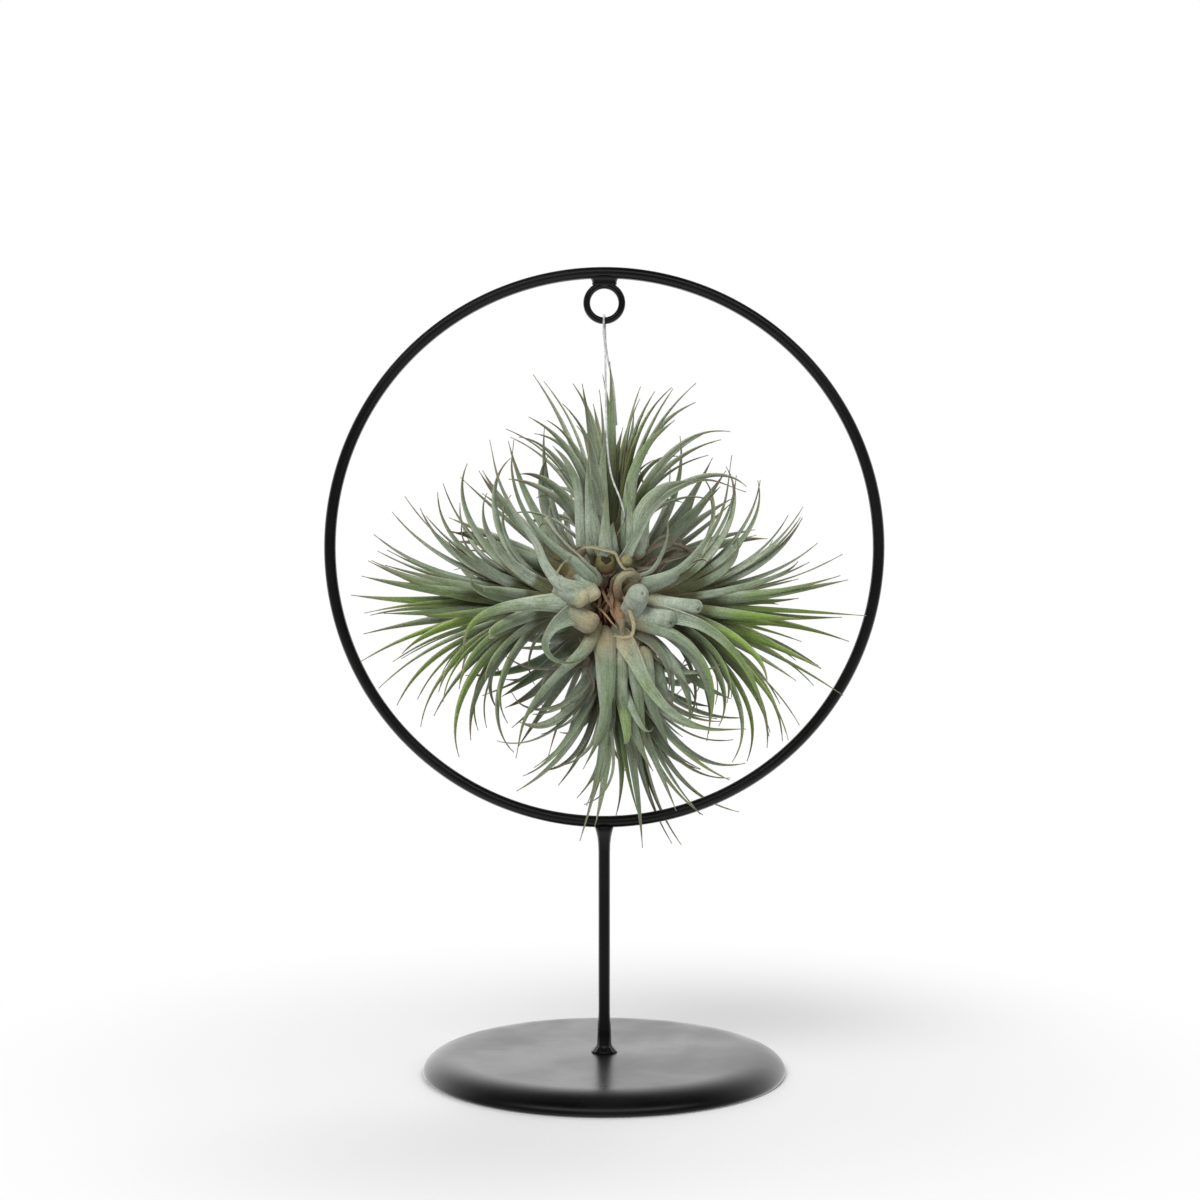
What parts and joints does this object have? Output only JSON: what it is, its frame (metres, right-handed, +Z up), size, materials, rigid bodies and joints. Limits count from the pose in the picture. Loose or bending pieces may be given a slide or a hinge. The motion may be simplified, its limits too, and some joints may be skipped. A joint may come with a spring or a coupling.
{
  "type": "air plant hung in a ring stand",
  "caption": "Clump of air plant rosettes hung by a thin line inside an upright black metal hoop on a stem and round foot.",
  "frame": {"origin": "middle of the foot's underside, on the table", "axes": "+Z up the stem; the hoop stands in the XZ plane; the clump's root side faces -Y"},
  "size_m": [0.2, 0.13, 0.288],
  "materials": {
    "black_paint": "satin",
    "clear_line": "satin",
    "old_stem": "matte",
    "leaf": "matte"
  },
  "bodies": {
    "root": {"foot": "black_paint", "stem": "black_paint", "hoop": "black_paint", "eyelet": "black_paint", "hanging_line": "clear_line", "crown": "old_stem", "rosette_up": "leaf", "rosette_left": "leaf", "rosette_right": "leaf", "rosette_down": "leaf", "rosette_back_left": "leaf", "rosette_back_right": "leaf", "rosette_back_low": "leaf"}
  },
  "joints": []
}
